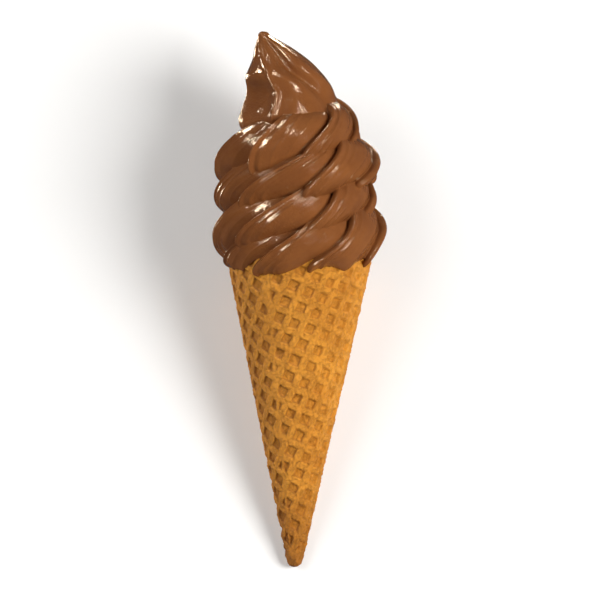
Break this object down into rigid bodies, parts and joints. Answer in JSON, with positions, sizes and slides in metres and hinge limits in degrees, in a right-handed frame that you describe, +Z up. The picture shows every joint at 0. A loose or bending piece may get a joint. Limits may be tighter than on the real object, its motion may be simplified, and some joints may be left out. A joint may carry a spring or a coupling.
{
  "type": "soft serve cone",
  "caption": "Chocolate soft serve coiled up to a leaning, pulled-off peak on a rolled waffle cone with a square grid of pockets, lying on its back.",
  "frame": {"origin": "on the ground, under the middle of the part's box", "axes": "+Z up from the ground, towards the side that shows; +Y from the cone's point towards the swirl; +X to the right of a viewer who sees the cone's point below"},
  "size_m": [0.0654, 0.199, 0.0661],
  "materials": {
    "soft_serve": "wet, glossy chocolate soft serve",
    "waffle_cone": "baked wafer, matte, browner in its pockets"
  },
  "bodies": {
    "root": {"soft_serve": "soft_serve", "waffle_cone": "waffle_cone"}
  },
  "joints": []
}
